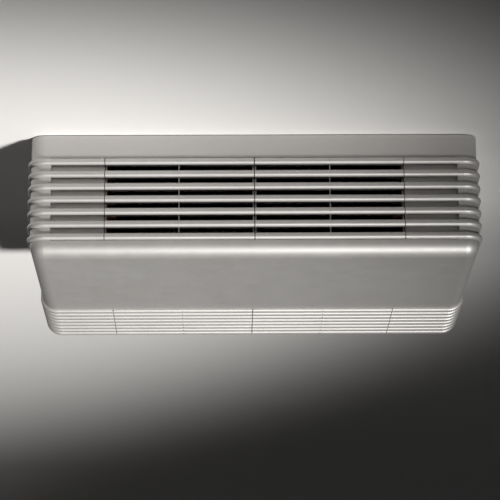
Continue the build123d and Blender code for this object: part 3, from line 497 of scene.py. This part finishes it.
def stage_material():
    """Matt pale paint. The wall is one-sided, so that the heater's back can be looked at."""
    f = Finish("stage_paint")
    base = f.mix(f.noise(0.5, 3.0), grey(0.76, 0.012), grey(0.79, 0.012))
    f.done(base, 0.75, f.bump(f.noise(0.003, 2.0), 0.00004))
    clear = f.node("ShaderNodeBsdfTransparent")
    one_sided = f.node("ShaderNodeMixShader")
    share, front, back = one_sided.inputs
    f.join(f.node("ShaderNodeNewGeometry").outputs["Backfacing"], share)
    f.join(f.shader.outputs["BSDF"], front)
    f.join(clear.outputs["BSDF"], back)
    f.join(one_sided.outputs["Shader"], f.tree.nodes["Material Output"].inputs["Surface"])
    return f.material


def build_stage():
    """A wall that sweeps into a floor, open where the heater's back plate covers it."""
    paint = stage_material()
    low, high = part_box("chassis")
    hole_x = high.x - HOLE_INSET
    rows = [WALL_TOP, high.z - HOLE_INSET, low.z + HOLE_INSET, FLOOR_Z + SWEEP_R]
    columns = [-ROOM, -hole_x, hole_x, ROOM]
    profile = [(WALL_GAP, z) for z in rows]
    for k in range(1, SWEEP_STEPS + 1):
        turn = math.pi / 2 * k / SWEEP_STEPS
        y = WALL_GAP - SWEEP_R * (1 - math.cos(turn))
        profile.append((y, FLOOR_Z + SWEEP_R * (1 - math.sin(turn))))
    profile.append((-ROOM, FLOOR_Z))
    verts = [(x, y, z) for y, z in profile for x in columns]
    faces = []
    for row in range(len(profile) - 1):
        for column in range(len(columns) - 1):
            if (row, column) != HOLE_CELL:
                corner = row * len(columns) + column
                below = corner + len(columns)
                faces.append((corner, below, below + 1, corner + 1))
    wall = mesh_object("stage_wall", verts, faces, paint)
    near = [(-ROOM, WALL_GAP, FLOOR_Z), (ROOM, WALL_GAP, FLOOR_Z)]
    far = [(ROOM, ROOM, FLOOR_Z), (-ROOM, ROOM, FLOOR_Z)]
    back_floor = mesh_object("stage_back_floor", near + far, [(0, 1, 2, 3)], paint)


build_stage()


# ---------------------------------------------------------------- light
def aim(obj, place, target):
    """Puts a light in its place, pointing at a target."""
    obj.location = place
    direction = Vector(target) - Vector(place)
    obj.rotation_euler = direction.to_track_quat("-Z", "Y").to_euler()


def spot(name, place, target, watts, cone, radius, colour):
    """A soft-edged spot; its cone is in degrees."""
    light = bpy.data.lights.new(name, "SPOT")
    light.energy = watts
    light.spot_size = math.radians(cone)
    light.spot_blend = 1.0
    light.shadow_soft_size = radius
    light.color = colour
    aim(linked(name, light), place, target)


def panel(name, place, target, watts, size, colour):
    """A rectangular area light of a width and height."""
    light = bpy.data.lights.new(name, "AREA")
    light.shape = "RECTANGLE"
    light.size, light.size_y = size
    light.energy = watts
    light.color = colour
    aim(linked(name, light), place, target)


WARM, SOFT_WARM, COOL = (1.0, 0.985, 0.96), (1.0, 0.99, 0.97), (0.98, 0.99, 1.0)
MIDDLE = (0.0, 0.0, 0.0)

spot("key", (1.28, -2.70, 1.70), (-0.76, 0.0, -0.435), 815, cone=36.5, radius=0.24, colour=WARM)
spot("fill", (-1.9, -2.4, 1.7), (-0.30, 0.0, 0.0), 22, cone=30, radius=0.5, colour=SOFT_WARM)
panel("back", (-1.6, 3.0, 1.4), MIDDLE, 240, size=(2.0, 1.4), colour=COOL)
panel("right", (2.2, -1.0, 0.3), (0.30, -0.1, 0.0), 1.2, size=(0.8, 1.2), colour=COOL)

world = bpy.data.worlds.new("studio")
bpy.context.scene.world = world
world.use_nodes = True
background = world.node_tree.nodes["Background"]
background.inputs["Color"].default_value = (0.80, 0.79, 0.78, 1.0)
background.inputs["Strength"].default_value = 0.015
bpy.context.scene.view_settings.view_transform = "Standard"


# ---------------------------------------------------------------- camera
# Where it stands in metres, its angles, and its sensor and focal length in millimetres.
CAMERA_AT = Vector((-0.0446, -1.0701, 3.2431))
YAW = math.radians(2.386)
PITCH = math.radians(73.317)
ROLL = math.radians(2.069)
SENSOR = 36.0
LENS = 172.2
NEAR, FAR = 0.05, 60.0


def build_camera():
    """A long lens high above the heater, looking steeply down at it."""
    level = math.cos(PITCH)
    look = Vector((math.sin(YAW) * level, math.cos(YAW) * level, -math.sin(PITCH)))
    right = Vector((math.cos(YAW), -math.sin(YAW), 0.0))
    up = right.cross(look)
    rolled_right = math.cos(ROLL) * right + math.sin(ROLL) * up
    rolled_up = math.cos(ROLL) * up - math.sin(ROLL) * right
    data = bpy.data.cameras.new("camera")
    data.sensor_width = SENSOR
    data.lens = LENS
    data.clip_start, data.clip_end = NEAR, FAR
    camera = linked("camera", data)
    turned = Matrix((rolled_right, rolled_up, -look)).transposed()
    camera.matrix_world = Matrix.Translation(CAMERA_AT) @ turned.to_4x4()
    bpy.context.scene.camera = camera


build_camera()
